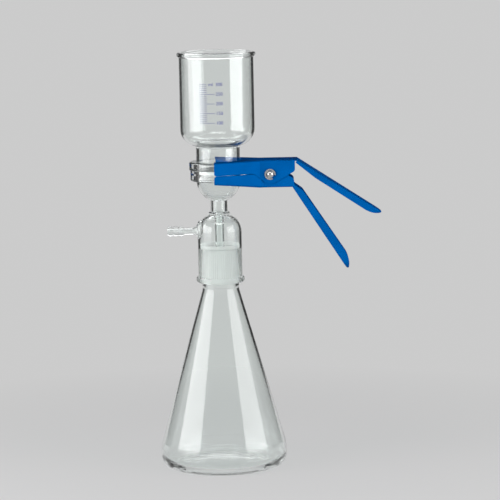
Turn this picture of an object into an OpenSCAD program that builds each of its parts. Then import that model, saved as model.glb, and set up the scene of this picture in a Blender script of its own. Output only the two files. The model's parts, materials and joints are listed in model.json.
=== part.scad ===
// Glass vacuum filtration unit: a graduated funnel held by a spring clamp on a filter head,
// which stands on the ground neck of a conical flask. Millimetres, +Z up.
// The origin is the centre of the ring that the flask stands on. The hose barb points to -X
// and the clamp's handles to +X.

/* [Flask] */
// Widest diameter of the flask
flask_d = 132; // [110:1:160]
// Height of the flask to the top of its ground neck
flask_h = 231; // [193:1:277]
// Wall of the flask
flask_wall = 2.2; // [1.8:0.1:3]
// Thickness of the flask's floor
floor_t = 3; // [2:0.1:4]
// Radius of the heel
heel_r = 12; // [10:0.5:15]
// Upright band between the heel and the cone
heel_band = 6; // [4:0.5:8]
// Radius that leads from the band into the cone
body_r = 40; // [30:1:45]
// Radius between the cone and the neck
neck_fillet_r = 18; // [12:1:22]
// How far the neck below the ground joint steps in from it
neck_step = 0.8; // [0.4:0.1:1.4]
// Height of the neck below the ground joint
neck_h = 5; // [3:0.5:8]
// How far the floor is pushed up in the middle
floor_rise = 2; // [1:0.1:3]
// Width of the flat ring that the flask stands on
foot_ring_w = 5; // [3:0.5:8]

/* [Ground joint] */
// Diameter of the ground joint at its wide end
joint_d = 40; // [34:0.5:48]
// Length of the ground cone
joint_len = 35; // [29:1:42]
// Length over which the joint's diameter shrinks by 1 mm
joint_taper = 10; // [8:1:12]
// Wall of the ground neck at its wide end
joint_wall = 4.2; // [3.8:0.1:5]
// Radial gap between the two ground cones
joint_clear = 0.05; // [0.02:0.01:0.1]

/* [Filter head] */
// Wall of the socket round the wide end of the ground cone
socket_wall = 3; // [2.5:0.1:4]
// Wall of the chamber above the socket
chamber_wall = 2.2; // [1.6:0.1:2.6]
// Height from the socket's mouth to the top of the dome
chamber_h = 72.5; // [69:0.5:86]
// Radius of the dome's shoulder, at most the chamber's own
dome_r = 19; // [14:0.5:24]
// How far the bead round the socket's mouth stands out
mouth_bead_out = 2.2; // [1.8:0.1:3]
// Height of the mouth's bead
mouth_bead_h = 6.2; // [5:0.2:8]
// Diameter of the neck between dome and bulb
stalk_d = 17.6; // [16:0.2:20]
// Wall of that neck
stalk_wall = 2.6; // [2:0.1:3]
// Height of that neck, from the dome to the bulb
stalk_h = 12; // [9:0.5:16]
// How far the ring seal on the dome stands out round that neck
seal_out = 2.4; // [1.8:0.1:3]
// Height of the ring seal above the dome
seal_h = 2; // [1.6:0.1:3]
// Outer diameter of the drip tube
drip_d = 9.6; // [8:0.2:11]
// Wall of the drip tube
drip_wall = 1.5; // [1.2:0.1:1.9]
// Height of the drip tube's tip above the socket's mouth
drip_lift = 12; // [8:1:20]
// Outer diameter of the bulb under the flange
bulb_d = 46; // [42:0.5:48]
// Wall of the bulb
bulb_wall = 2.2; // [1.8:0.1:3]
// Thickness of the filter head's flange
head_flange_t = 11.5; // [10:0.5:14]

/* [Frit] */
// Diameter of the sintered disc
frit_d = 40; // [36:0.5:41]
// Thickness of the sintered disc
frit_t = 4; // [3:0.5:5]
// Gap round the sintered disc
frit_clear = 0.05; // [0.02:0.01:0.1]
// Width of the ledge that the disc lies on
frit_ledge = 2; // [1.5:0.5:3]

/* [Hose barb] */
// Distance from the chamber's wall to the barb's tip
barb_len = 31.7; // [27:0.1:38]
// Height of the side tube's axis above the socket's mouth
barb_lift = 54.5; // [50:0.5:57]
// Diameter over the barb's ridges
barb_d = 10.8; // [9.6:0.2:12]
// Diameter of the side tube
barb_root_d = 7.6; // [7:0.2:8.4]
// Number of ridges
barb_ridges = 3; // [2:1:4]
// Length of one ridge
ridge_len = 5.8; // [5:0.2:6.4]
// Width of the flat crest on each ridge
crest_w = 1.6; // [1.2:0.1:2]
// Depth of the notches between the ridges
ridge_depth = 1.1; // [0.7:0.1:1.3]
// Bore of the side tube
barb_bore = 3.8; // [3:0.2:4]
// Diameter of the flare where the side tube leaves the chamber
flare_d = 18.4; // [15:0.2:19]
// Radius that leads from the flare into the side tube
flare_r = 5.8; // [4:0.2:7]

/* [Funnel] */
// Outer diameter of the cup
cup_d = 78; // [65:1:94]
// Wall of the cup
cup_wall = 2.5; // [2:0.1:3]
// Height of the cup, from its outer bottom to its rim
cup_h = 98; // [80:1:118]
// Radius between the cup's wall and its bottom
cup_corner_r = 18; // [15:1:20]
// How far the beaded rim stands out from the cup
rim_out = 2.3; // [1.6:0.1:2.8]
// Thickness of the beaded rim
rim_t = 5.2; // [4.4:0.2:6]
// Outer diameter of the stem
stem_d = 46; // [44:0.5:48]
// Wall of the stem
stem_wall = 3; // [2.5:0.1:3.5]
// Height of the stem between flange and cup
stem_h = 16.5; // [15:0.5:24]
// Fillet between the stem and the cup's bottom
stem_fillet_r = 3; // [2:0.5:4]
// Thickness of the funnel's flange
funnel_flange_t = 8.5; // [7:0.5:10]

/* [Flanges] */
// Outer diameter of the funnel's ground flange
funnel_flange_d = 60.6; // [54:0.2:72]
// Outer diameter of the filter head's ground flange
head_flange_d = 58.6; // [54:0.2:72]
// Rounding of the flanges' outer edges
flange_edge_r = 1.6; // [1:0.1:3]

/* [Clamp] */
// Thickness of the aluminium sheet
sheet_t = 1.2; // [1:0.1:1.5]
// Outer radius of the fold between web and side wall
fold_r = 1.9; // [1.5:0.1:2.2]
// Gap between a jaw's tip and the flange that it presses on
jaw_clear = 0.15; // [0.1:0.05:0.3]
// Gap between the side walls and the edge of the flanges
side_clear = 0.6; // [0.4:0.1:1.5]
// Gap between the fork's slot and the glass that it straddles
slot_clear = 1; // [0.8:0.1:2]
// How far the jaw's tips reach past the axis of the glass
tip_reach = 4; // [2:0.5:8]
// Distance from the edge of the flanges to the pivot
pivot_reach = 23.7; // [22:0.1:30]
// How far the pivot lies below the ground faces
pivot_drop = 4.7; // [3:0.1:5.5]
// Distance from the pivot forward to the knee where the jaws spread
knee_reach = 10.5; // [10:0.5:13]
// Width over the upper half's tabs
tab_span = 32; // [28:0.5:38]
// How far the upper web climbs from tip to knee
upper_rise = 0; // [0:0.1:3]
// How far the lower web falls from tip to knee
lower_fall = 5.9; // [4:0.1:7]
// Gap between the two halves' jaw walls
parting_gap = 0.9; // [0.6:0.1:1.5]
// How far that gap lies below the ground faces
parting_drop = 3.8; // [2:0.1:4.5]
// Radius of the tabs round the pivot
tab_r = 10; // [9:0.5:11]
// Distance from the pivot back to the tabs' rear edge
tab_reach = 26; // [24:0.5:28]
// Gap between the outer tabs and the inner ones
tab_clear = 0.25; // [0.15:0.05:0.4]
// Slope of the tabs' front edges
tab_front_slope = 41; // [39:1:43]
// Slope of the outer tabs' rear edges
tab_rear_slope = 29; // [27:1:31]
// Slope of the inner tabs' rear edges
inner_rear_slope = 33; // [31:1:35]

/* [Handles] */
// Length of each handle from its bend to its tip
handle_len = 105; // [90:1:125]
// Slope of the upper handle below the horizontal
upper_slope = 33; // [31:1:36]
// Slope of the lower handle below the horizontal
lower_slope = 57.5; // [56:0.5:62]
// Distance from the pivot back to the upper handle's bend
upper_bend_reach = 28.6; // [28:0.2:31]
// Distance from the pivot back to the lower handle's bend
lower_bend_reach = 23; // [22:0.5:24]
// Width of a handle's round tip
handle_tip_w = 20; // [16:1:24]
// Depth of the side walls at the bend
bend_wall_h = 3.4; // [3:0.2:4]
// Length over which the upper handle's walls deepen behind the bend
upper_ramp = 26; // [20:1:32]
// Length over which the lower handle's walls deepen behind the bend
lower_ramp = 9; // [7:1:12]
// Depth of the upper handle's side walls where that ramp ends
upper_ramp_h = 6.4; // [5.4:0.2:7.6]
// Depth of the lower handle's side walls where that ramp ends
lower_ramp_h = 7; // [6:0.2:8.4]
// Depth of the upper handle's side walls near its tip
upper_wall_h = 7.4; // [6:0.2:9]
// Depth of the lower handle's side walls near its tip
lower_wall_h = 8.6; // [7:0.2:10]
// Length over which the side walls run out at the tip
tip_fade = 17; // [14:1:22]

/* [Pivot] */
// Diameter of the pivot pin
pin_d = 7; // [5.8:0.1:8.4]
// Radial running gap in the upper half's tabs
pin_clear = 0.08; // [0.05:0.01:0.1]
// Radial gap in the lower half's tabs
pin_seat = 0.05; // [0.03:0.01:0.08]
// How far the pin's head stands out round the pin
pin_head_out = 2; // [1.5:0.1:3]
// Thickness of the pin's head
pin_head_t = 2.2; // [1.6:0.2:3]
// Depth of the groove for the retaining clip
groove_depth = 1; // [0.8:0.1:1.2]
// How far the retaining clip stands out round the pin
clip_out = 2.2; // [1.8:0.1:2.8]
// Thickness of the retaining clip
clip_t = 0.8; // [0.6:0.1:1]
// Sideways play at the head and at the clip
end_play = 0.15; // [0.1:0.05:0.3]
// Length of the pin's end beyond the clip
pin_end = 2.6; // [2:0.2:3]

/* [Spring] */
// Diameter of the spring's wire
wire_d = 1.8; // [1.4:0.1:2.2]
// Gap between the pin and the coil round it
coil_clear = 2.1; // [1:0.1:2.6]
// Whole turns of the coil
coil_turns = 7; // [4:1:8]
// Gap between neighbouring turns
coil_gap = 0.35; // [0.2:0.05:0.5]
// Length of the spring's legs
leg_len = 21; // [17:1:23]
// Gap between a leg's end and the web that it presses on
leg_clear = 0.3; // [0.2:0.05:0.5]

/* [Hidden] */
$fn = 96;
far = 300; // longer than any cut needs to be
eps = 0.01;
cross_deg = 8; // angle at which the handles' sides run into their round tips
bulge = 0.01; // arcs reach at least this far past their faces, so that they leave no sliver
arc_cross = 3; // and cross them at this angle or more
bend_lap = 0.6; // how far the lower handle reaches back over its bend
blunt_r = 0.5; // rounding of glass edges that are only fire polished

// Levels of the stack
mouth_z = flask_h - joint_len;
dome_z = mouth_z + chamber_h;
bulb_z = dome_z + stalk_h + bulb_d / 2;
face_z = bulb_z + head_flange_t;
stem_z = face_z + funnel_flange_t;
cup_z = stem_z + stem_h;
rim_z = cup_z + cup_h;
barb_z = mouth_z + barb_lift;

// Radii that several pieces share
joint_r = joint_d / 2;
joint_tip_r = joint_r - joint_len / joint_taper / 2;
chamber_r = joint_r + joint_clear + socket_wall;
flange_r = max(funnel_flange_d, head_flange_d) / 2;

// Clamp, side view
tip_x = -tip_reach;
pivot_x = flange_r + pivot_reach;
pivot_z = face_z - pivot_drop;
knee_x = pivot_x - knee_reach;
upper_tip_z = stem_z + jaw_clear + sheet_t;
upper_web_z = upper_tip_z + upper_rise;
lower_tip_z = bulb_z - jaw_clear - sheet_t;
lower_web_z = lower_tip_z - lower_fall;
upper_bend_x = pivot_x + upper_bend_reach;
lower_bend_x = pivot_x + lower_bend_reach;
tab_x = pivot_x + tab_reach;
parting_z = face_z - parting_drop;
// Clamp, plan view: the flared jaw walls pass the flanges' edge at side_clear
outer_half = tab_span / 2;
inner_half = outer_half - sheet_t - tab_clear;
wall_reach = flange_r + side_clear + sheet_t;
flare = asin(wall_reach / norm([knee_x, outer_half])) - atan2(outer_half, knee_x);
inner_knee_x = knee_x + (outer_half - inner_half) / tan(flare);
tip_half = outer_half + (knee_x - tip_x) * tan(flare);
slot_r = max(stem_d, bulb_d) / 2 + slot_clear;
// Pin
groove_y = outer_half + end_play;
groove_w = clip_t + end_play;

// ---------------------------------------------------------------- helpers

function unit(v) = v / norm(v);
function flat(p) = [p[0], p[1]];
function runs_left(p) = let (n = len(p))
    [for (i = [0:n - 1]) cross(flat(p[i]), flat(p[(i + 1) % n]))] * [for (i = [1:n]) 1] > 0;
function leftward(p) = runs_left(p) ? p : [for (i = [len(p) - 1:-1:0]) p[i]];

// A polygon with true arcs: each corner is [x, y, radius]
module outline(corners) {
    c = leftward(corners);
    n = len(c);
    p = [for (corner = c) flat(corner)];
    difference() {
        union() {
            polygon(p);
            for (i = [0:n - 1])
                if (c[i][2] > 0 && !turns_left(p, i))
                    corner_arc(p[(i + n - 1) % n], p[i], p[(i + 1) % n], c[i][2]);
        }
        for (i = [0:n - 1])
            if (c[i][2] > 0 && turns_left(p, i))
                corner_arc(p[(i + n - 1) % n], p[i], p[(i + 1) % n], c[i][2]);
    }
}

function turns_left(p, i) = let (n = len(p), b = p[i])
    cross(b - p[(i + n - 1) % n], p[(i + 1) % n] - b) > 0;

// What an arc takes off corner b, between a and c, or fills it with
module corner_arc(a, b, c, r) {
    u = unit(a - b);
    v = unit(c - b);
    half = acos(u * v) / 2;
    centre = b + unit(u + v) * r / sin(half);
    touch = r / tan(half);
    kite = [centre, b + touch * u, b, b + touch * v];
    difference() {
        polygon(leftward([for (p = kite) centre + 1.2 * (p - centre)]));
        translate(centre)
            circle(max(r + bulge, r / cos(arc_cross)));
    }
}

// Where two tangents of a circle meet, given the directions from its centre to their touch points
function tangent_corner(centre, r, dir_a, dir_b) =
    let (mid = (dir_a + dir_b) / 2)
    centre + r / cos((dir_b - dir_a) / 2) * [cos(mid), sin(mid)];

// Turns an x-z drawing into a slab across the clamp
module across(width) {
    rotate([90, 0, 0])
        linear_extrude(width, center = true)
            children();
}

// A disc in the half section of a turned piece, at [r, z]
module disc(r, at) {
    translate(at)
        circle(r);
}

// ---------------------------------------------------------------- flask

// Half section of the flask's body, drawn inward by inset from the outer surface; it reaches
// into the neck by lap
module flask_section(inset, bottom, lap) {
    r = flask_d / 2;
    neck_r = joint_r - neck_step;
    top = mouth_z - neck_h;
    bend = [r - body_r, heel_r + heel_band];
    fillet = [neck_r + neck_fillet_r, top];
    // The cone touches the bend's arc from outside and the fillet's from inside
    span = fillet - bend;
    lean = atan2(span[1], span[0]) - acos((body_r + neck_fillet_r) / norm(span));
    normal = [cos(lean), sin(lean)];
    reach = normal * bend + body_r - inset;
    function cone_z(x) = (reach - normal[0] * x) / normal[1];
    outline([
        [0, bottom, 0],
        [r - inset, bottom, heel_r - inset],
        [r - inset, cone_z(r - inset), body_r - inset],
        [neck_r - inset, cone_z(neck_r - inset), neck_fillet_r + inset],
        [neck_r - inset, top + lap, 0],
        [0, top + lap, 0],
    ]);
}

// Half section of the ground neck
module joint_section() {
    neck_r = joint_r - neck_step;
    polygon([
        [0, mouth_z - neck_h],
        [neck_r, mouth_z - neck_h],
        [neck_r, mouth_z - neck_step],
        [joint_r, mouth_z],
        [joint_tip_r, flask_h - blunt_r],
        [joint_tip_r - blunt_r, flask_h],
        [0, flask_h],
    ]);
}

module flask() {
    foot_r = flask_d / 2 - heel_r - foot_ring_w;
    dish_r = (pow(foot_r, 2) + pow(floor_rise, 2)) / (2 * floor_rise);
    throat_r = joint_r - joint_wall;
    color("lightcyan", 0.4)
        rotate_extrude()
            difference() {
                union() {
                    flask_section(0, 0, neck_h / 2);
                    joint_section();
                }
                flask_section(flask_wall, floor_t + floor_rise, 0);
                translate([0, mouth_z - neck_h - eps])
                    square([throat_r, far]);
                disc(dish_r, [0, floor_rise - dish_r]);
            }
}

// ---------------------------------------------------------------- filter head

// Half section of a ground flange between z = 0, its ground face, and z = t
module flange_section(d, t) {
    outline([
        [0, 0, 0],
        [d / 2, 0, blunt_r],
        [d / 2, t, flange_edge_r],
        [0, t, 0],
    ]);
}

// Half section of the chamber under its dome, drawn inward by inset from the outer surface
module dome_section(inset, bottom) {
    outline([
        [0, bottom, 0],
        [chamber_r - inset, bottom, 0],
        [chamber_r - inset, dome_z - inset, min(dome_r, chamber_r - 1) - inset],
        [0, dome_z - inset, 0],
    ]);
}

// Half section of the lower half of a ball round the bulb's centre, and of lift above it
module bowl_section(r, lift) {
    intersection() {
        disc(r, [0, bulb_z]);
        translate([0, bulb_z - r])
            square([r, r + lift]);
    }
}

module head_outer_section() {
    bead_r = chamber_r + mouth_bead_out;
    seal_r = stalk_d / 2 + seal_out;
    dome_section(0, mouth_z);
    // bead round the mouth
    outline([
        [joint_r, mouth_z, 0],
        [bead_r, mouth_z, 2.4],
        [bead_r, mouth_z + mouth_bead_h, 1.6],
        [joint_r, mouth_z + mouth_bead_h, 0],
    ]);
    // neck between dome and bulb, and the ring seal round its foot
    translate([0, dome_z - dome_r])
        square([stalk_d / 2, stalk_h + 2 * dome_r]);
    outline([
        [0, dome_z - seal_h, 0],
        [seal_r, dome_z - seal_h, 0],
        [seal_r, dome_z + seal_h, 0.8 * seal_out],
        [0, dome_z + seal_h, 0],
    ]);
    bowl_section(bulb_d / 2, eps);
    translate([0, face_z])
        mirror([0, 1])
            flange_section(head_flange_d, head_flange_t);
}

// Half section of all that is hollow in the head
module head_hollow_section() {
    slope = 1 / joint_taper / 2;
    drip_bore_r = drip_d / 2 - drip_wall;
    stalk_bore_r = stalk_d / 2 - stalk_wall;
    // chamber and ground socket, all round the drip tube
    difference() {
        union() {
            dome_section(chamber_wall, flask_h + 1);
            polygon([
                [0, mouth_z - 1],
                [joint_r + joint_clear + slope, mouth_z - 1],
                [joint_tip_r + joint_clear - slope, flask_h + 1],
                [0, flask_h + 1],
            ]);
        }
        translate([0, mouth_z + drip_lift])
            square([drip_d / 2, far]);
    }
    // bore from the bulb to the drip tube's tip
    translate([0, mouth_z])
        square([drip_bore_r, bulb_z - mouth_z]);
    polygon([
        [0, dome_z],
        [drip_bore_r, dome_z],
        [stalk_bore_r, dome_z + seal_h],
        [stalk_bore_r, bulb_z],
        [0, bulb_z],
    ]);
    // bulb, and above it the seat of the sintered disc
    bowl_section(bulb_d / 2 - bulb_wall, head_flange_t - frit_t - frit_ledge);
    translate([0, bulb_z])
        square([frit_d / 2 - frit_ledge, far]);
    translate([0, face_z - frit_t])
        square([frit_d / 2 + frit_clear, far]);
}

// Half section of the side tube, drawn with its axis upright and its tip on top, and drawn
// inward by inset from its outer surface
module side_tube_section(inset, tip) {
    root_r = barb_root_d / 2 - inset;
    mouth_r = flare_d / 2 - inset;
    skirt = chamber_wall;
    outline([
        [0, drip_d, 0],
        [mouth_r + skirt, drip_d, 0],
        [mouth_r + skirt, chamber_r - blunt_r - skirt, 0],
        [mouth_r, chamber_r - blunt_r, 0],
        [root_r, chamber_r + blunt_r, flare_r + inset],
        [root_r, tip, 0],
        [0, tip, 0],
    ]);
}

// The ridges on the side tube, each with a steep flank, a flat crest and a long slope to the tip
module ridge_section() {
    root_r = barb_root_d / 2;
    crest_r = barb_d / 2;
    flank = crest_r - root_r;
    for (i = [0:barb_ridges - 1])
        translate([0, chamber_r + barb_len - (barb_ridges - i) * ridge_len])
            outline([
                [0, 0, 0],
                [root_r, 0, 0],
                [crest_r, flank, blunt_r],
                [crest_r, flank + crest_w, blunt_r],
                [crest_r - ridge_depth, ridge_len, 0],
                [0, ridge_len, 0],
            ]);
}

module filter_head() {
    barb_reach = chamber_r + barb_len;
    barb_wall = (barb_root_d - barb_bore) / 2;
    color("lightcyan", 0.4)
        difference() {
            union() {
                rotate_extrude()
                    head_outer_section();
                translate([0, 0, barb_z])
                    rotate([0, -90, 0])
                        rotate_extrude() {
                            side_tube_section(0, barb_reach);
                            ridge_section();
                        }
            }
            rotate_extrude()
                head_hollow_section();
            translate([0, 0, barb_z])
                rotate([0, -90, 0])
                    rotate_extrude()
                        side_tube_section(barb_wall, barb_reach + 1);
            // slanted cut at the drip tube's tip
            intersection() {
                translate([0, 0, mouth_z + drip_lift + drip_d / 2])
                    rotate([0, 45, 0])
                        translate([0, 0, -drip_d])
                            cube(2 * drip_d, center = true);
                translate([0, 0, mouth_z])
                    cylinder(h = joint_len, d = drip_d + 1);
            }
        }
}

module fritted_disc() {
    color("whitesmoke")
        translate([0, 0, face_z - frit_t])
            cylinder(h = frit_t, d = frit_d);
}

// ---------------------------------------------------------------- funnel

// Centre of the round corner between the cup's wall and its bottom
function cup_corner() = [cup_d / 2 - cup_corner_r, cup_z + cup_corner_r];

module rim_section() {
    disc(rim_t / 2, [cup_d / 2 + rim_out - rim_t / 2, rim_z - rim_t / 2]);
}

module funnel_outer_section() {
    corner = cup_corner();
    // The fillet touches the stem and the cup's round corner
    fillet_x = stem_d / 2 + stem_fillet_r;
    fillet_z = corner[1] - sqrt(pow(cup_corner_r + stem_fillet_r, 2) - pow(fillet_x - corner[0], 2));
    translate([0, face_z])
        flange_section(funnel_flange_d, funnel_flange_t);
    translate([0, face_z])
        square([stem_d / 2, corner[1] - face_z]);
    difference() {
        polygon([[0, fillet_z], [fillet_x, fillet_z], corner, [0, corner[1]]]);
        disc(stem_fillet_r, [fillet_x, fillet_z]);
    }
    // A round corner wider than the cup's radius stops at the axis
    intersection() {
        disc(cup_corner_r, corner);
        translate([0, face_z])
            square(far);
    }
    translate([0, corner[1]])
        square([cup_d / 2, rim_z - rim_t / 2 - corner[1]]);
    rim_section();
}

module funnel_hollow_section() {
    corner = cup_corner();
    corner_r = cup_corner_r - cup_wall;
    difference() {
        union() {
            square([stem_d / 2 - stem_wall, far + rim_z]);
            disc(corner_r, corner);
            translate([0, corner[1] - corner_r])
                square([corner[0], corner_r]);
            translate([0, corner[1]])
                square([cup_d / 2 - cup_wall, far]);
        }
        rim_section();
    }
}

module filter_funnel() {
    color("lightcyan", 0.4)
        rotate_extrude()
            difference() {
                funnel_outer_section();
                funnel_hollow_section();
            }
}

// ---------------------------------------------------------------- clamp

// Plan of one half from its jaw's tips to its bend, drawn inward by inset
module clamp_plan(half, knee, end, inset) {
    run = inset > 0 ? 1 : 0; // an inset plan runs past both open ends
    start_x = tip_x - run;
    start_half = tip_half + run * tan(flare) - inset / cos(flare);
    side = [
        [start_x, start_half],
        [knee - inset * tan(flare / 2), half - inset],
        [end + run, half - inset],
    ];
    polygon(concat(side, [for (i = [2:-1:0]) [side[i][0], -side[i][1]]]));
}

// What the rounding of a fold takes off: the edge is at the origin, the sheet's faces are on x = 0
// and y = 0
module fold_shape() {
    corner_arc([-far, 0], [0, 0], [0, -far], fold_r);
}

// Cutter that rounds a fold: its edge runs along +X from the origin, the outside is +Y and +Z
module fold_cutter(length) {
    rotate([90, 0, 90])
        linear_extrude(length)
            fold_shape();
}

// The same cutter from one point to another, on the left side of the way there and on top
module fold_between(a, b, up) {
    way = b - a;
    over = fold_r * tan(flare / 2);
    translate(a)
        rotate([0, 0, atan2(way[1], way[0])])
            rotate([0, -atan2(way[2], norm(flat(way))), 0])
                mirror([0, 0, up ? 0 : 1])
                    translate([-over, 0, 0])
                        fold_cutter(norm(way) + 2 * over);
}

// Rounds the folds of both sides, along the jaw and along the tabs
module round_folds(half, knee, bend, tip_z, web_z, up) {
    tip = [tip_x - fold_r, tip_half + fold_r * tan(flare), tip_z];
    for (side = [0, 1])
        mirror([0, side, 0]) {
            fold_between(tip, [knee, half, web_z], up);
            fold_between([knee, half, web_z], [bend, half, web_z], up);
        }
}

// The fork's slot, which straddles the glass
module fork_slot() {
    translate([0, 0, lower_web_z - fold_r]) {
        cylinder(h = upper_web_z - lower_web_z + 2 * fold_r, r = slot_r);
        translate([-far, -slot_r, 0])
            cube([far, 2 * slot_r, upper_web_z - lower_web_z + 2 * fold_r]);
    }
}

// Plan of a handle, from its bend at x = 0 to its round tip, drawn inward by inset
module handle_plan(half, inset, lap) {
    tip_r = handle_tip_w / 2;
    centre_x = handle_len - tip_r;
    taper = handle_taper(half);
    r = tip_r * cos(cross_deg) - inset;
    touch = [centre_x + r * sin(taper), r * cos(taper)];
    start = half - inset / cos(taper);
    polygon([[-lap, -start], [touch[0], -touch[1]], touch, [-lap, start]]);
    disc(tip_r - inset, [centre_x, 0]);
}

function handle_taper(half) =
    let (centre_x = handle_len - handle_tip_w / 2)
    atan2(half, centre_x) - asin(handle_tip_w / 2 * cos(cross_deg) / norm([centre_x, half]));

// Side view of a handle's wall: x along the handle, y up from its web
module handle_side(depth, ramp, ramp_h, lap) {
    end_h = sheet_t + 0.4;
    fade_r = (pow(tip_fade, 2) + pow(depth - end_h, 2)) / (2 * (depth - end_h));
    fade_x = handle_len - tip_fade;
    outline([
        [-lap, 0, 0],
        [-lap, bend_wall_h, 0],
        [0, bend_wall_h, 0],
        [ramp, ramp_h, ramp / 2],
        [fade_x, depth, 0],
        [fade_x, 0, 0],
    ]);
    intersection() {
        disc(fade_r + bulge, [fade_x, depth - fade_r]);
        translate([fade_x - eps, 0])
            square([tip_fade + 1, depth]);
    }
}

// A handle as a tray with its web on z = 0 and its walls pointing to +Z
module handle_tray(half, depth, ramp, ramp_h, lap) {
    taper = handle_taper(half);
    tip_r = handle_tip_w / 2;
    centre_x = handle_len - tip_r;
    // the straight fold ends just past the point where the round tip swells out of the side
    run = (centre_x + tip_r * sin(taper - cross_deg)) / cos(taper) + 0.4;
    tip_turn = 90 - taper + cross_deg + 2;
    difference() {
        intersection() {
            linear_extrude(depth)
                handle_plan(half, 0, lap);
            across(far)
                handle_side(depth, ramp, ramp_h, lap);
        }
        translate([0, 0, sheet_t])
            linear_extrude(depth)
                handle_plan(half, sheet_t, lap + 1);
        for (side = [0, 1])
            mirror([0, side, 0])
                translate([0, half, 0])
                    rotate([0, 0, -taper])
                        mirror([0, 0, 1])
                            fold_cutter(run);
        translate([centre_x, 0, 0])
            rotate([0, 0, -tip_turn])
                rotate_extrude(angle = 2 * tip_turn)
                    translate([tip_r, 0])
                        mirror([0, 1])
                            fold_shape();
    }
}

// Side view of the upper half's web and walls up to the bend
module upper_side() {
    front = 180 + 90 - tab_front_slope;
    rear = 270 + tab_rear_slope;
    heel = tangent_corner([pivot_x, pivot_z], tab_r, front, rear);
    edge_z = parting_z + parting_gap / 2;
    outline([
        [tip_x, upper_tip_z, 0],
        [knee_x, upper_web_z, 0],
        [upper_bend_x, upper_web_z, 0],
        [upper_bend_x - sheet_t * tan(upper_slope / 2), upper_web_z - sheet_t, 0],
        [tab_x, upper_web_z - sheet_t, 0.8],
        [tab_x, heel[1] + (tab_x - heel[0]) * tan(tab_rear_slope), 4],
        [heel[0], heel[1], tab_r],
        [heel[0] - (edge_z - heel[1]) / tan(tab_front_slope), edge_z, 8],
        [tip_x, edge_z, 2],
    ]);
}

// Side view of the lower half's web and walls up to the bend
module lower_side() {
    front = 180 + 90 - tab_front_slope;
    rear = 270 + tab_rear_slope;
    heel = tangent_corner([pivot_x, pivot_z], tab_r + parting_gap / 2, front, rear);
    edge_z = parting_z - parting_gap / 2;
    // The inner tab starts where the walls have stepped inside the upper half's
    inner_x = inner_knee_x + 0.4;
    crown_z = pivot_z + tab_r - 1;
    crown = tangent_corner([pivot_x, pivot_z], tab_r - 1, 90 - inner_rear_slope, 90);
    lift = bend_wall_h * [sin(lower_slope), cos(lower_slope)];
    tab_end = tab_x - 1;
    outline([
        [tip_x, lower_tip_z, 0],
        [knee_x, lower_web_z, 0],
        [lower_bend_x, lower_web_z, 0],
        [lower_bend_x + lift[0], lower_web_z + lift[1], 0],
        [tab_end, lower_web_z + lift[1] + 0.3, 0.6],
        [tab_end, crown_z - (tab_end - crown[0]) * tan(inner_rear_slope), 4],
        [crown[0], crown_z, tab_r - 1],
        [inner_x, crown_z, 5],
        [inner_x, heel[1] + (heel[0] - inner_x) * tan(tab_front_slope), 0.6],
        [heel[0] - (edge_z - heel[1]) / tan(tab_front_slope), edge_z, 9],
        [tip_x, edge_z, 2],
    ]);
}

module pivot_bore(clear) {
    translate([pivot_x, 0, pivot_z])
        rotate([90, 0, 0])
            cylinder(h = 2 * tab_span, d = pin_d + 2 * clear, center = true);
}

module clamp_upper() {
    depth = upper_web_z - lower_web_z;
    color("royalblue")
        difference() {
            union() {
                difference() {
                    intersection() {
                        translate([0, 0, lower_web_z])
                            linear_extrude(depth + 1)
                                clamp_plan(outer_half, knee_x, upper_bend_x, 0);
                        across(far)
                            upper_side();
                    }
                    intersection() {
                        translate([0, 0, lower_web_z - 1])
                            linear_extrude(depth + 2)
                                clamp_plan(outer_half, knee_x, upper_bend_x, sheet_t);
                        across(far)
                            polygon([
                                [tip_x - 1, lower_web_z - 1],
                                [tip_x - 1, upper_tip_z - sheet_t - upper_rise / (knee_x - tip_x)],
                                [knee_x, upper_web_z - sheet_t],
                                [upper_bend_x + 1, upper_web_z - sheet_t],
                                [upper_bend_x + 1, lower_web_z - 1],
                            ]);
                    }
                    round_folds(outer_half, knee_x, upper_bend_x, upper_tip_z, upper_web_z, true);
                    fork_slot();
                }
                translate([upper_bend_x, 0, upper_web_z])
                    rotate([0, upper_slope, 0])
                        mirror([0, 0, 1])
                            handle_tray(outer_half, upper_wall_h, upper_ramp, upper_ramp_h, 0);
            }
            pivot_bore(pin_clear);
        }
}

module clamp_lower() {
    depth = upper_web_z - lower_web_z;
    color("royalblue")
        difference() {
            union() {
                difference() {
                    intersection() {
                        translate([0, 0, lower_web_z])
                            linear_extrude(depth)
                                clamp_plan(inner_half, inner_knee_x, tab_x + 4, 0);
                        across(far)
                            lower_side();
                    }
                    intersection() {
                        translate([0, 0, lower_web_z - 1])
                            linear_extrude(depth + 2)
                                clamp_plan(inner_half, inner_knee_x, tab_x + 4, sheet_t);
                        across(far)
                            polygon([
                                [tip_x - 1, upper_web_z + 1],
                                [tip_x - 1, lower_tip_z + sheet_t + lower_fall / (knee_x - tip_x)],
                                [knee_x, lower_web_z + sheet_t],
                                [lower_bend_x + sheet_t * tan(lower_slope / 2), lower_web_z + sheet_t],
                                [tab_x + 5, lower_web_z + sheet_t
                                    - (tab_x + 5 - lower_bend_x) * tan(lower_slope)],
                                [tab_x + 5, upper_web_z + 1],
                            ]);
                    }
                    round_folds(inner_half, inner_knee_x, lower_bend_x, lower_tip_z, lower_web_z, false);
                    fork_slot();
                }
                translate([lower_bend_x, 0, lower_web_z])
                    rotate([0, lower_slope, 0])
                        handle_tray(inner_half, lower_wall_h, lower_ramp, lower_ramp_h, bend_lap);
            }
            pivot_bore(pin_seat);
        }
}

// ---------------------------------------------------------------- pivot

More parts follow.
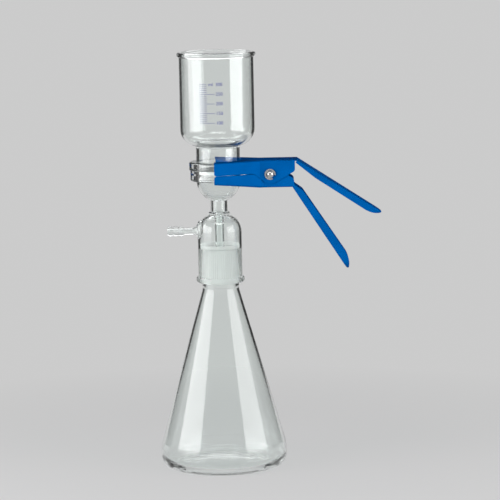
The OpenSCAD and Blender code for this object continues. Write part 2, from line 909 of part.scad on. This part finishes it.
// Drawn as a half section with the axis upright and the clip's end on top
module pin_section() {
    r = pin_d / 2;
    head_r = r + pin_head_out;
    end = groove_y + groove_w + pin_end;
    dome_r = r * 1.15;
    difference() {
        union() {
            translate([0, -groove_y - pin_head_t / 2])
                square([r, groove_y + pin_head_t / 2 + end]);
            outline([
                [0, -groove_y, 0],
                [head_r, -groove_y, 0.3],
                [head_r, -groove_y - pin_head_t, 0.7 * pin_head_t],
                [0, -groove_y - pin_head_t, 0],
            ]);
        }
        translate([r - groove_depth, groove_y])
            square([r, groove_w]);
        // domed end
        difference() {
            translate([0, end - pin_end / 2])
                square([2 * r, pin_end]);
            disc(dome_r, [0, end - dome_r]);
        }
    }
}

module pivot_pin() {
    color("silver")
        translate([pivot_x, 0, pivot_z])
            rotate([90, 0, 0])
                rotate_extrude()
                    intersection() {
                        pin_section();
                        translate([0, -far])
                            square([far, 2 * far]);
                    }
}

// Open ring with three lugs that reach into the groove
module retaining_clip() {
    groove_r = pin_d / 2 - groove_depth + pin_seat;
    rim_r = pin_d / 2 + clip_out;
    rim_w = 1.5;
    lug_w = 2.4;
    color("silver")
        translate([pivot_x, -groove_y - groove_w / 2 + clip_t / 2, pivot_z])
            rotate([90, 0, 0])
                linear_extrude(clip_t)
                    rotate(-35)
                        difference() {
                            union() {
                                difference() {
                                    circle(rim_r);
                                    circle(rim_r - rim_w);
                                    translate([0, -groove_r * 0.85])
                                        square([rim_r + 1, groove_r * 1.7]);
                                }
                                for (turn = [75, 180, -75])
                                    rotate(turn)
                                        translate([0, -lug_w / 2])
                                            square([rim_r - rim_w / 2, lug_w]);
                            }
                            circle(groove_r);
                        }
}

// ---------------------------------------------------------------- spring

// The wire's centre line: upper leg, coil and lower leg; each leg leaves the coil on its tangent
wire_sides = 8;
turn_steps = 16;
coil_r = (pin_d + wire_d) / 2 + coil_clear;
coil_pitch = wire_d + coil_gap;
upper_leg_rise = asin(min(0.9, (upper_web_z - sheet_t - leg_clear - wire_d / 2 - pivot_z - coil_r)
    / leg_len));
lower_leg_fall = asin(min(0.9, (pivot_z - coil_r - lower_web_z - sheet_t - leg_clear - wire_d / 2)
    / leg_len));
coil_start = 90 + upper_leg_rise;
coil_sweep = 360 * coil_turns + 180 + upper_leg_rise + lower_leg_fall;
coil_steps = ceil(coil_sweep / 360 * turn_steps);
coil_w = coil_pitch * coil_sweep / 360;
function coil_point(k) =
    let (a = coil_start + coil_sweep * k / coil_steps)
    [coil_r * cos(a), coil_w * (k / coil_steps - 0.5), coil_r * sin(a)];
wire_path = concat(
    [coil_point(0) + leg_len * [cos(upper_leg_rise), 0, sin(upper_leg_rise)]],
    [for (k = [0:coil_steps]) coil_point(k)],
    [coil_point(coil_steps) + leg_len * [cos(lower_leg_fall), 0, -sin(lower_leg_fall)]]
);

// A closed round wire swept along a path that never runs along Y
module wire(path, d, sides) {
    n = len(path);
    rings = [for (i = [0:n - 1])
        let (
            way = unit(path[min(i + 1, n - 1)] - path[max(i - 1, 0)]),
            u = unit(cross(way, [0, 1, 0])),
            v = cross(way, u)
        )
        for (j = [0:sides - 1]) let (a = 360 * j / sides)
            path[i] + d / 2 * (cos(a) * u + sin(a) * v)];
    skin = [for (i = [0:n - 2], j = [0:sides - 1]) let (k = (j + 1) % sides)
        [i * sides + j, (i + 1) * sides + j, (i + 1) * sides + k, i * sides + k]];
    first = [for (j = [0:sides - 1]) j];
    last = [for (j = [sides - 1:-1:0]) (n - 1) * sides + j];
    polyhedron(rings, concat([first], skin, [last]));
}

module torsion_spring() {
    color("silver")
        translate([pivot_x, 0, pivot_z])
            wire(wire_path, wire_d, wire_sides);
}

filter_funnel();
filter_head();
fritted_disc();
flask();
clamp_upper();
clamp_lower();
pivot_pin();
retaining_clip();
torsion_spring();
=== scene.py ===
"""Looks of the vacuum filtration unit: clear and ground glass, a printed scale, anodised sheet, steel.
Everything is in metres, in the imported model's frame: +Z up, the hose barb points to -X."""

import json
import math

import bmesh
import bpy
from mathutils import Matrix, Vector


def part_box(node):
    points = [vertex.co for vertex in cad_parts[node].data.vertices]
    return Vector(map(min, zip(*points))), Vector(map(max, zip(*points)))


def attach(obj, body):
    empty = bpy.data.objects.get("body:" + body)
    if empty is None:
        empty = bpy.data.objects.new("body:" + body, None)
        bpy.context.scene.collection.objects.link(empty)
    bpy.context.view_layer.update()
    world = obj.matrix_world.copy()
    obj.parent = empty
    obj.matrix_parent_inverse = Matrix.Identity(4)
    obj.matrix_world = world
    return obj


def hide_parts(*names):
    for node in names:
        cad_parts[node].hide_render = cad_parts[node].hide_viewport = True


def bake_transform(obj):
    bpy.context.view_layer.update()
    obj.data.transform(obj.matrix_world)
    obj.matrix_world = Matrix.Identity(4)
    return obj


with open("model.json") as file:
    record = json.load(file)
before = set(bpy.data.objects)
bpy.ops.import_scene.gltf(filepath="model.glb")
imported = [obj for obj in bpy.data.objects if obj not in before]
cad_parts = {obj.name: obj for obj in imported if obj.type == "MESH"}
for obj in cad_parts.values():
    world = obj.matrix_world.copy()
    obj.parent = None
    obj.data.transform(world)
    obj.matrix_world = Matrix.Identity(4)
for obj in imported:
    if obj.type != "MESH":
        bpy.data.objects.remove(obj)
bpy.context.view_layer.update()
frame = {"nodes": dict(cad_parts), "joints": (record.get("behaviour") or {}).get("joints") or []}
scene = bpy.context.scene
nodes = frame["nodes"]

# ---------------------------------------------------------------- places taken from the CAD nodes

flask_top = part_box("flask")[1].z
mouth_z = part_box("filter_head")[0].z
face_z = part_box("filter_head")[1].z
rim_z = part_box("filter_funnel")[1].z
pivot = Vector(frame["joints"][0]["pos_m"])
coil_low, coil_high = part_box("torsion_spring")

JOINT_R = 0.020  # ground joint at its wide end, which is at mouth_z
JOINT_TAPER = 1 / 20  # radius lost for each metre of height
JOINT_GAP = 0.00005  # between the two ground cones
SHELF_UP = 0.001  # from the flask's rim to the shelf in the socket
SHELF_R = 0.0184  # the shelf's inner edge
GROUND_UP = 0.0042  # height above the shelf up to which the chamber is ground
CHAMBER_R = 0.02085  # inside the chamber
SHELF_OFF = 0.00003  # from the shelf to the milky skin over it
WALL_OFF = 0.00004  # from the chamber's wall to the milky skin inside it
CUP_R = 0.039
COIL_R = 0.0065
COIL_TURNS = 7
WIRE_R = 0.0009
LEG = 0.021  # length of the spring's legs
LEG_RISE = math.radians(15.608)  # of the upper leg, over +X
LEG_FALL = math.radians(14.196)  # of the lower leg


# ---------------------------------------------------------------- shader helpers

def new_material(name):
    mat = bpy.data.materials.new(name)
    mat.use_nodes = True
    tree = mat.node_tree
    tree.nodes.clear()
    return mat, tree, tree.nodes.new("ShaderNodeOutputMaterial")


def put(tree, socket, value):
    """Links a socket to value, or sets it where value is a number or a colour."""
    if isinstance(value, (int, float)):
        socket.default_value = value
    elif isinstance(value, tuple):
        socket.default_value = value if len(value) != 3 or socket.type != "RGBA" else (*value, 1)
    else:
        tree.links.new(value, socket)


def shader(tree, kind, **sockets):
    """A new shader node; sockets are named with _ for a space."""
    node = tree.nodes.new(kind)
    for name, value in sockets.items():
        put(tree, node.inputs[name.replace("_", " ")], value)
    return node.outputs[0]


def mix_shader(tree, factor, a, b):
    node = tree.nodes.new("ShaderNodeMixShader")
    for socket, value in zip(node.inputs, (factor, a, b)):
        put(tree, socket, value)
    return node.outputs[0]


def calc(tree, operation, a, b=0.0, c=0.0):
    node = tree.nodes.new("ShaderNodeMath")
    node.operation = operation
    for socket, value in zip(node.inputs, (a, b, c)):
        put(tree, socket, value)
    return node.outputs[0]


def mix_colour(tree, factor, a, b):
    node = tree.nodes.new("ShaderNodeMix")
    node.data_type = "RGBA"
    for index, value in ((0, factor), (6, a), (7, b)):
        put(tree, node.inputs[index], value)
    return node.outputs[2]


def ramp(tree, factor, stops):
    node = tree.nodes.new("ShaderNodeValToRGB")
    while len(node.color_ramp.elements) < len(stops):
        node.color_ramp.elements.new(0.5)
    for element, (position, colour) in zip(node.color_ramp.elements, stops):
        element.position = position
        element.color = (*colour, 1)
    tree.links.new(factor, node.inputs[0])
    return node.outputs[0]


def own_coords(tree, kind="Object"):
    """The object's own coordinates, as a vector."""
    return tree.nodes.new("ShaderNodeTexCoord").outputs[kind]


def split(tree, vector):
    """A vector's three numbers."""
    node = tree.nodes.new("ShaderNodeSeparateXYZ")
    tree.links.new(vector, node.inputs[0])
    return node.outputs


def noise(tree, vector, scale, detail=2.0, stretch=(1, 1, 1)):
    mapping = tree.nodes.new("ShaderNodeMapping")
    mapping.inputs["Scale"].default_value = stretch
    tree.links.new(vector, mapping.inputs["Vector"])
    node = tree.nodes.new("ShaderNodeTexNoise")
    node.inputs["Scale"].default_value = scale
    node.inputs["Detail"].default_value = detail
    tree.links.new(mapping.outputs[0], node.inputs["Vector"])
    return node.outputs["Fac"]


def span(tree, value, low, high, to_low=0.0, to_high=1.0):
    """Value from low to high, stretched to to_low ... to_high and held at both ends."""
    node = tree.nodes.new("ShaderNodeMapRange")
    for socket, number in zip(node.inputs, (value, low, high, to_low, to_high)):
        put(tree, socket, number)
    return node.outputs[0]


def bump(tree, height, strength, distance):
    node = tree.nodes.new("ShaderNodeBump")
    node.inputs["Strength"].default_value = strength
    node.inputs["Distance"].default_value = distance
    tree.links.new(height, node.inputs["Height"])
    return node.outputs[0]


# ---------------------------------------------------------------- glass

GLASS_TINT = (0.955, 0.982, 0.972)
GLASS_IOR = 1.473
GROUND = 0.42  # roughness of the ground faces


def axis_distance(tree, axes):
    squares = calc(tree, "MULTIPLY_ADD", axes[0], axes[0], calc(tree, "MULTIPLY", axes[1], axes[1]))
    return calc(tree, "SQRT", squares)


def on_cone(tree, axes):
    """1 on the ground joint's surface, 0 a third of a millimetre off it."""
    cone = calc(tree, "MULTIPLY_ADD", axes[2], -JOINT_TAPER, JOINT_R + mouth_z * JOINT_TAPER)
    off = calc(tree, "ABSOLUTE", calc(tree, "SUBTRACT", axis_distance(tree, axes), cone))
    above_bead = span(tree, axes[2], mouth_z + 0.0002, mouth_z + 0.0006)
    return calc(tree, "MULTIPLY", span(tree, off, 0.0003, 0.0004, 1, 0), above_bead)


def on_face(tree, axes):
    """1 on the ground faces of the two flanges."""
    off = calc(tree, "ABSOLUTE", calc(tree, "SUBTRACT", axes[2], face_z))
    return span(tree, off, 0.00015, 0.00025, 1, 0)


def on_cone_or_face(tree, axes):
    return calc(tree, "MAXIMUM", on_cone(tree, axes), on_face(tree, axes))


def glass_material(name, ground):
    """Clear glass that lets lamps through; ground(tree, axes) is 1 where it is ground matt."""
    mat, tree, out = new_material(name)
    vector = own_coords(tree)
    axes = split(tree, vector)
    wave = noise(tree, vector, 22.0, 1.0, (1, 1, 0.3))
    clear = shader(
        tree, "ShaderNodeBsdfPrincipled", Base_Color=GLASS_TINT, IOR=GLASS_IOR, Transmission_Weight=1.0,
        Roughness=calc(tree, "MULTIPLY", ground(tree, axes), GROUND), Normal=bump(tree, wave, 0.05, 0.001),
    )
    through = shader(tree, "ShaderNodeBsdfTransparent", Color=(0.93, 0.95, 0.945))
    ray = tree.nodes.new("ShaderNodeLightPath").outputs
    lamp_ray = calc(tree, "MAXIMUM", ray["Is Shadow Ray"], ray["Is Diffuse Ray"])
    put(tree, out.inputs[0], mix_shader(tree, lamp_ray, clear, through))
    return mat


def veil_material():
    """The milky look of two ground faces that touch: a skin that scatters part of the light."""
    mat, tree, out = new_material("ground_joint")
    vector = own_coords(tree)
    grain = noise(tree, vector, 900.0, 3.0)
    streak = noise(tree, vector, 60.0, 2.0, (1, 1, 4))
    tone = calc(tree, "MULTIPLY_ADD", grain, 0.5, calc(tree, "MULTIPLY", streak, 0.5))
    colour = mix_colour(tree, tone, (0.84, 0.84, 0.83), (0.94, 0.94, 0.925))
    front = shader(tree, "ShaderNodeBsdfDiffuse", Color=colour, Roughness=0.6)
    behind = shader(tree, "ShaderNodeBsdfTranslucent", Color=colour)
    milk = mix_shader(tree, 0.5, front, behind)
    see_through = shader(tree, "ShaderNodeBsdfTransparent", Color=(1.0, 1.0, 1.0))
    cover = span(tree, tone, 0.3, 0.7, 0.78, 0.86)
    put(tree, out.inputs[0], mix_shader(tree, cover, see_through, milk))
    return mat


def frit_material():
    mat, tree, out = new_material("sintered_glass")
    vector = own_coords(tree)
    grain = noise(tree, vector, 1600.0, 3.0)
    colour = mix_colour(tree, grain, (0.70, 0.72, 0.71), (0.90, 0.91, 0.90))
    put(tree, out.inputs[0], shader(
        tree, "ShaderNodeBsdfPrincipled", Base_Color=colour, Roughness=0.85, Specular_IOR_Level=0.35,
        Normal=bump(tree, grain, 0.6, 0.0002),
    ))
    return mat


# ---------------------------------------------------------------- metal and print

def anodised_material():
    """Blue anodised sheet: a faint cloud in the dye and a fine rolled grain."""
    mat, tree, out = new_material("anodised_blue")
    vector = own_coords(tree)
    cloud = noise(tree, vector, 45.0, 3.0)
    grain = noise(tree, vector, 1500.0, 2.0)
    dye = mix_colour(tree, span(tree, cloud, 0.35, 0.65), (0.0001, 0.082, 0.305), (0.0001, 0.097, 0.355))
    put(tree, out.inputs[0], shader(
        tree, "ShaderNodeBsdfPrincipled", Base_Color=dye, Metallic=0.2, Specular_IOR_Level=0.0,
        Specular_Tint=(0.02, 0.25, 0.6), Roughness=span(tree, cloud, 0.3, 0.7, 0.34, 0.40),
        Normal=bump(tree, grain, 0.03, 0.00002),
    ))
    return mat


def steel_material(name, colour, rough, scale, stretch=(1, 1, 1)):
    mat, tree, out = new_material(name)
    vector = own_coords(tree)
    grain = noise(tree, vector, scale, 2.0, stretch)
    mottled = mix_colour(tree, grain, tuple(0.8 * c for c in colour), colour)
    put(tree, out.inputs[0], shader(
        tree, "ShaderNodeBsdfPrincipled", Base_Color=mottled, Metallic=1.0,
        Roughness=span(tree, grain, 0.3, 0.7, rough * 0.8, rough * 1.25),
        Normal=bump(tree, grain, 0.15, 0.00004),
    ))
    return mat


def enamel_material():
    mat, tree, out = new_material("blue_enamel")
    vector = own_coords(tree)
    grain = noise(tree, vector, 1200.0, 2.0)
    colour = mix_colour(tree, grain, (0.012, 0.014, 0.16), (0.02, 0.026, 0.26))
    put(tree, out.inputs[0], shader(
        tree, "ShaderNodeBsdfPrincipled", Base_Color=colour, Roughness=0.5,
        Normal=bump(tree, grain, 0.2, 0.00003),
    ))
    return mat


def dress(node, mat):
    for slot in nodes[node].material_slots:
        slot.material = mat


dress("flask", glass_material("glass_flask", on_cone))
dress("filter_head", glass_material("glass_head", on_cone_or_face))
dress("filter_funnel", glass_material("glass_funnel", on_face))
dress("fritted_disc", frit_material())
blue = anodised_material()
dress("clamp_upper", blue)
dress("clamp_lower", blue)
dress("pivot_pin", steel_material("steel_turned", (0.62, 0.62, 0.61), 0.22, 700.0, (1, 0.2, 1)))
dress("retaining_clip", steel_material("steel_pressed", (0.55, 0.55, 0.55), 0.3, 900.0))
wire_steel = steel_material("spring_wire", (0.5, 0.5, 0.51), 0.28, 900.0)
dress("torsion_spring", wire_steel)


# ---------------------------------------------------------------- pieces

def piece(name, bm, mat, smooth=True):
    mesh = bpy.data.meshes.new(name)
    bm.to_mesh(mesh)
    bm.free()
    mesh.materials.append(mat)
    if smooth:
        mesh.shade_smooth()
    obj = bpy.data.objects.new(name, mesh)
    scene.collection.objects.link(obj)
    return obj


def lathe(bm, profile, around=128):
    """Adds the open surface that a profile of (radius, height) sweeps round the glass's axis."""
    rings = []
    for r, z in profile:
        angles = [2 * math.pi * k / around for k in range(around)]
        rings.append([bm.verts.new((r * math.cos(a), r * math.sin(a), z)) for a in angles])
    for low, high in zip(rings, rings[1:]):
        for k in range(around):
            j = (k + 1) % around
            bm.faces.new((low[k], low[j], high[j], high[k]))


def ground_joint_veil():
    """A skin half way across the gap between the two ground cones, and one on the socket's end above."""
    bm = bmesh.new()
    low, high = mouth_z + 0.0004, flask_top - 0.0002
    heights = [low + (high - low) * i / 24 for i in range(25)]
    lathe(bm, [(JOINT_R - (z - mouth_z) * JOINT_TAPER + JOINT_GAP / 2, z) for z in heights])
    shelf_z = flask_top + SHELF_UP + SHELF_OFF
    wall_r = CHAMBER_R - WALL_OFF
    corner = 0.0004
    lathe(bm, [
        (SHELF_R, shelf_z), (wall_r - corner, shelf_z),
        (wall_r, shelf_z + corner), (wall_r, shelf_z + GROUND_UP),
    ])
    return piece("ground_joint_veil", bm, veil_material())


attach(ground_joint_veil(), "glassware")

# the printed scale: marks in degrees round the cup from the camera's side, + towards +X
MARK_STEP = 0.00995
MARKS = 5  # numbered lines
TOP_MARK_Z = rim_z - 0.0313
PRINT_T = 0.00004
MARK_LEFT = -26.6
NUMBERED_END = -2.6
PLAIN_END = -14.5
NUMBERED_LINE = 0.00035  # width of a line
PLAIN_LINE = 0.0003
TEXT_RIGHT = 9.7
TEXT_H = 0.0034


def wrapped(x, z, out):
    """A point printed on the cup: x is the way round it, from the front, and z the height."""
    a = x / CUP_R
    r = CUP_R + 0.00001 + out
    return (r * math.sin(a), -r * math.cos(a), z)


def print_bar(bm, left, right, z, height):
    """One line of the scale, from left to right in degrees."""
    steps = max(2, round((right - left) / 2))
    xs = [math.radians(left + (right - left) * i / steps) * CUP_R for i in range(steps + 1)]
    rings = []
    below, above = z - height / 2, z + height / 2
    corners = ((below, 0), (above, 0), (above, PRINT_T), (below, PRINT_T))
    for x in xs:
        rings.append([bm.verts.new(wrapped(x, level, out)) for level, out in corners])
    for a, b in zip(rings, rings[1:]):
        for k in range(4):
            j = (k + 1) % 4
            bm.faces.new((a[k], a[j], b[j], b[k]))
    bm.faces.new(rings[0][::-1])
    bm.faces.new(rings[-1])


def print_text(bm, text, right, z, height):
    """Text whose right end is at an angle in degrees and whose middle is at height z."""
    curve = bpy.data.curves.new("text", "FONT")
    curve.body = text
    curve.align_x = "RIGHT"
    curve.align_y = "CENTER"
    curve.size = height / 0.7
    curve.extrude = PRINT_T / 2
    obj = bpy.data.objects.new("text", curve)
    mesh = obj.to_mesh()
    part = bmesh.new()
    part.from_mesh(mesh)
    shift = math.radians(right) * CUP_R
    for v in part.verts:
        v.co = wrapped(shift + v.co.x, z + v.co.y, PRINT_T / 2 + v.co.z)
    part.to_mesh(mesh)
    bm.from_mesh(mesh)
    part.free()
    obj.to_mesh_clear()
    bpy.data.objects.remove(obj)


def scale_print():
    bm = bmesh.new()
    for i in range(MARKS):
        z = TOP_MARK_Z - i * MARK_STEP
        # the top line is short, to leave room for the unit
        print_bar(bm, MARK_LEFT, NUMBERED_END if i else PLAIN_END, z, NUMBERED_LINE)
        print_text(bm, ("" if i else "ml  ") + str(300 - 50 * i), TEXT_RIGHT, z, TEXT_H)
        if i < MARKS - 1:
            for k in range(1, 5):
                print_bar(bm, MARK_LEFT, PLAIN_END, z - MARK_STEP * k / 5, PLAIN_LINE)
    bmesh.ops.recalc_face_normals(bm, faces=bm.faces)
    return piece("printed_scale", bm, enamel_material(), smooth=False)


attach(scale_print(), "glassware")


def wire_tube(path, sides):
    """A round wire along a path that never runs along Y."""
    bm = bmesh.new()
    rings = []
    for i, at in enumerate(path):
        way = (path[min(i + 1, len(path) - 1)] - path[max(i - 1, 0)]).normalized()
        u = way.cross(Vector((0, 1, 0))).normalized()
        v = way.cross(u)
        angles = [2 * math.pi * k / sides for k in range(sides)]
        rings.append([bm.verts.new(at + WIRE_R * (math.cos(a) * u + math.sin(a) * v)) for a in angles])
    for a, b in zip(rings, rings[1:]):
        for k in range(sides):
            j = (k + 1) % sides
            bm.faces.new((a[k], a[j], b[j], b[k]))
    for ring in (rings[0][::-1], rings[-1]):
        bm.faces.new(ring)
    bmesh.ops.recalc_face_normals(bm, faces=bm.faces)
    return bm


def spring_path():
    """Upper leg, coil and lower leg; each leg leaves the coil on its tangent."""
    half_w = (coil_high.y - coil_low.y) / 2 - WIRE_R
    start = math.pi / 2 + LEG_RISE
    sweep = 2 * math.pi * COIL_TURNS + math.pi + LEG_RISE + LEG_FALL
    steps = 48 * (COIL_TURNS + 1)

    def coil(k):
        a = start + sweep * k / steps
        return pivot + Vector((COIL_R * math.cos(a), half_w * (2 * k / steps - 1), COIL_R * math.sin(a)))

    upper = Vector((math.cos(LEG_RISE), 0, math.sin(LEG_RISE)))
    lower = Vector((math.cos(LEG_FALL), 0, -math.sin(LEG_FALL)))
    legs = [LEG * i / 12 for i in range(1, 13)]
    return (
        [coil(0) + upper * d for d in reversed(legs)]
        + [coil(k) for k in range(steps + 1)]
        + [coil(steps) + lower * d for d in legs]
    ), half_w


path, half_w = spring_path()
spring = piece("spring", wire_tube(path, 16), wire_steel)
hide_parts("torsion_spring")
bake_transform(spring)

# ---------------------------------------------------------------- camera

CAMERA_AT = Vector((0.0315, -3.05, 0.646))
CAMERA_TO = Vector((0.0315, 0.0, 0.229))
CAMERA_ANGLE = math.radians(9.75)
CAMERA_ROLL = math.radians(1.15)

cam_data = bpy.data.cameras.new("camera")
cam_data.angle = CAMERA_ANGLE
cam_data.clip_start = 0.1
cam_data.clip_end = 100
cam = bpy.data.objects.new("camera", cam_data)
scene.collection.objects.link(cam)
aim = (CAMERA_TO - CAMERA_AT).to_track_quat("-Z", "Y").to_matrix().to_4x4()
cam.matrix_world = Matrix.Translation(CAMERA_AT) @ aim @ Matrix.Rotation(-CAMERA_ROLL, 4, "Z")
scene.camera = cam


# ---------------------------------------------------------------- lamps

def soft_box(name, at, to, width, height, radiance):
    """A rectangular lamp at a point, facing another; it lights matt surfaces and isn't mirrored."""
    data = bpy.data.lights.new(name, "AREA")
    data.shape = "RECTANGLE"
    data.size = width
    data.size_y = height
    data.energy = radiance * math.pi * width * height
    lamp = bpy.data.objects.new(name, data)
    scene.collection.objects.link(lamp)
    at, to = Vector(at), Vector(to)
    lamp.matrix_world = Matrix.Translation(at) @ (to - at).to_track_quat("-Z", "Y").to_matrix().to_4x4()
    lamp.visible_camera = False
    lamp.visible_glossy = False
    lamp.visible_transmission = False


def round_wall(name, distance, rows, stops, seen_through=False):
    """A screen bent round the object, which only gloss and glass see, and glass only by a
    reflection in it unless seen_through is set. Each row gives a height and the screen's two ends
    there, in degrees from the camera's side; stops give height and radiance."""
    bm = bmesh.new()
    columns = 16
    grid = []
    for z, left, right in rows:
        angles = [math.radians(left + (right - left) * i / columns) for i in range(columns + 1)]
        grid.append([bm.verts.new((distance * math.sin(a), -distance * math.cos(a), z)) for a in angles])
    for low, high in zip(grid, grid[1:]):
        for i in range(columns):
            bm.faces.new((low[i], low[i + 1], high[i + 1], high[i]))
    mesh = bpy.data.meshes.new(name)
    bm.to_mesh(mesh)
    bm.free()
    screen = bpy.data.objects.new(name, mesh)
    scene.collection.objects.link(screen)
    screen.visible_camera = False
    screen.visible_diffuse = False
    screen.visible_shadow = False
    mat, tree, out = new_material(name)
    axes = split(tree, own_coords(tree))
    low, high = stops[0][0], stops[-1][0]
    top = max(radiance for z, radiance in stops)
    shades = [((z - low) / (high - low), (radiance / top,) * 3) for z, radiance in stops]
    tone = ramp(tree, span(tree, axes[2], low, high), shades)
    bounces = tree.nodes.new("ShaderNodeLightPath").outputs["Glossy Depth"]
    bounced = calc(tree, "MAXIMUM", calc(tree, "MINIMUM", bounces, 1.0), float(seen_through))
    glow = shader(tree, "ShaderNodeEmission", Color=tone, Strength=top)
    nothing = shader(tree, "ShaderNodeBsdfTransparent", Color=(1.0, 1.0, 1.0))
    put(tree, out.inputs[0], mix_shader(tree, bounced, nothing, glow))
    mat.cycles.emission_sampling = "NONE"  # gloss finds the screens by itself, matt surfaces don't see them
    mesh.materials.append(mat)


soft_box("lamp_left", (-1.15, -0.75, 0.27), (0, 0, 0.27), 1.0, 0.7, 15.0)
soft_box("lamp_right", (1.10, -0.75, 0.27), (0, 0, 0.27), 1.0, 0.7, 9.5)
soft_box("lamp_top", (0, -0.3, 1.6), (0, -0.3, 0), 0.9, 0.9, 0.3)
round_wall("over_front", 0.7, [(1.25, -45, 45), (1.8, -45, 45)], [(1.25, 5.0), (1.8, 5.0)], seen_through=True)
round_wall("over_back", 1.0, [(1.1, 130, 230), (1.6, 130, 230)], [(1.1, 4.0), (1.6, 4.0)], seen_through=True)
round_wall(
    "wall_left", 1.2,
    [
        (-0.15, -93, -48), (0.25, -94, -47), (0.34, -98, -46),
        (0.42, -105, -45), (0.50, -112, -45), (1.0, -112, -45),
    ],
    [(-0.15, 1.0), (0.08, 1.5), (0.2, 4.0), (1.0, 4.0)],
)
round_wall(
    "wall_right", 1.2,
    [(-0.15, 44, 87), (0.25, 44, 88), (0.50, 42, 94), (1.0, 42, 94)],
    [(-0.15, 1.0), (0.08, 1.2), (0.2, 3.2), (1.0, 3.2)],
)
# nearly black screens behind, to both sides: they give the glass its dark edges
for name, left, right in (("edge_left", -165, -114), ("edge_right", 100, 165)):
    round_wall(name, 1.3, [(-0.1, left, right), (1.3, left, right)], [(-0.1, 0.04), (1.3, 0.04)])

# ---------------------------------------------------------------- floor and backdrop

# one plain pale tone, for the floor and for the backdrop behind it
PALE = (0.6, 0.6, 0.6)
OVERHEAD = (0.30, 0.31, 0.32)  # above the object, in gloss and glass
FILL = (0.09, 0.09, 0.10)  # light from all round on matt surfaces
BACKDROP_UP = (0.08, 0.6)  # sine of the height angle, from the pale tone to the one overhead
FLOOR_R = 40
FLOOR_DROP = 0.0002  # below the flask's foot, so that the two faces don't coincide
FLOOR_LIT = 0.5  # share of the floor's tone that the lamps light, around the object
LIT_OUT_TO = (0.25, 0.6)  # from the object, where that share fades to nothing
FLOOR_LIGHT = 0.6  # brightness of a white floor under the lamps

bm = bmesh.new()
bmesh.ops.create_circle(bm, cap_ends=True, segments=96, radius=FLOOR_R)
floor_mesh = bpy.data.meshes.new("floor")
bm.to_mesh(floor_mesh)
bm.free()
floor = bpy.data.objects.new("floor", floor_mesh)
floor.location.z = -FLOOR_DROP
scene.collection.objects.link(floor)
mat, tree, out = new_material("floor")
axes = split(tree, own_coords(tree))
rays = tree.nodes.new("ShaderNodeLightPath").outputs
mirrored = calc(tree, "MAXIMUM", rays["Is Glossy Ray"], rays["Is Transmission Ray"])
shown = calc(tree, "MAXIMUM", rays["Is Camera Ray"], mirrored)
share = span(tree, axis_distance(tree, axes), LIT_OUT_TO[0], LIT_OUT_TO[1], FLOOR_LIT, 0)
lit = shader(tree, "ShaderNodeBsdfDiffuse", Color=mix_colour(tree, share, (0, 0, 0), PALE))
# the glow leaves out what the lamps give, so that the floor stays even and keeps the shadow
strength = calc(tree, "MULTIPLY", shown, calc(tree, "MULTIPLY_ADD", share, -FLOOR_LIGHT, 1.0))
glow = shader(tree, "ShaderNodeEmission", Color=PALE, Strength=strength)
both = tree.nodes.new("ShaderNodeAddShader")
put(tree, both.inputs[0], lit)
put(tree, both.inputs[1], glow)
put(tree, out.inputs[0], both.outputs[0])
mat.cycles.emission_sampling = "NONE"  # the glow is only for what is seen, and lights nothing
floor_mesh.materials.append(mat)

# world: the same pale tone behind everything, darker overhead in gloss and glass, a soft grey fill
world = bpy.data.worlds.new("world")
scene.world = world
world.use_nodes = True
tree = world.node_tree
tree.nodes.clear()
out = tree.nodes.new("ShaderNodeOutputWorld")
rays = tree.nodes.new("ShaderNodeLightPath").outputs
height = span(tree, split(tree, own_coords(tree, "Generated"))[2], BACKDROP_UP[0], BACKDROP_UP[1])
overhead = calc(tree, "MULTIPLY", height, calc(tree, "SUBTRACT", 1.0, rays["Is Camera Ray"]))
seen = shader(tree, "ShaderNodeBackground", Color=mix_colour(tree, overhead, PALE, OVERHEAD))
fill = shader(tree, "ShaderNodeBackground", Color=FILL)
put(tree, out.inputs[0], mix_shader(tree, rays["Is Diffuse Ray"], seen, fill))

scene.view_settings.view_transform = "Standard"
# light that runs round inside the thick edges of the glass needs more bounces than usual
scene.cycles.max_bounces = 24
scene.cycles.glossy_bounces = 16
scene.cycles.transmission_bounces = 24
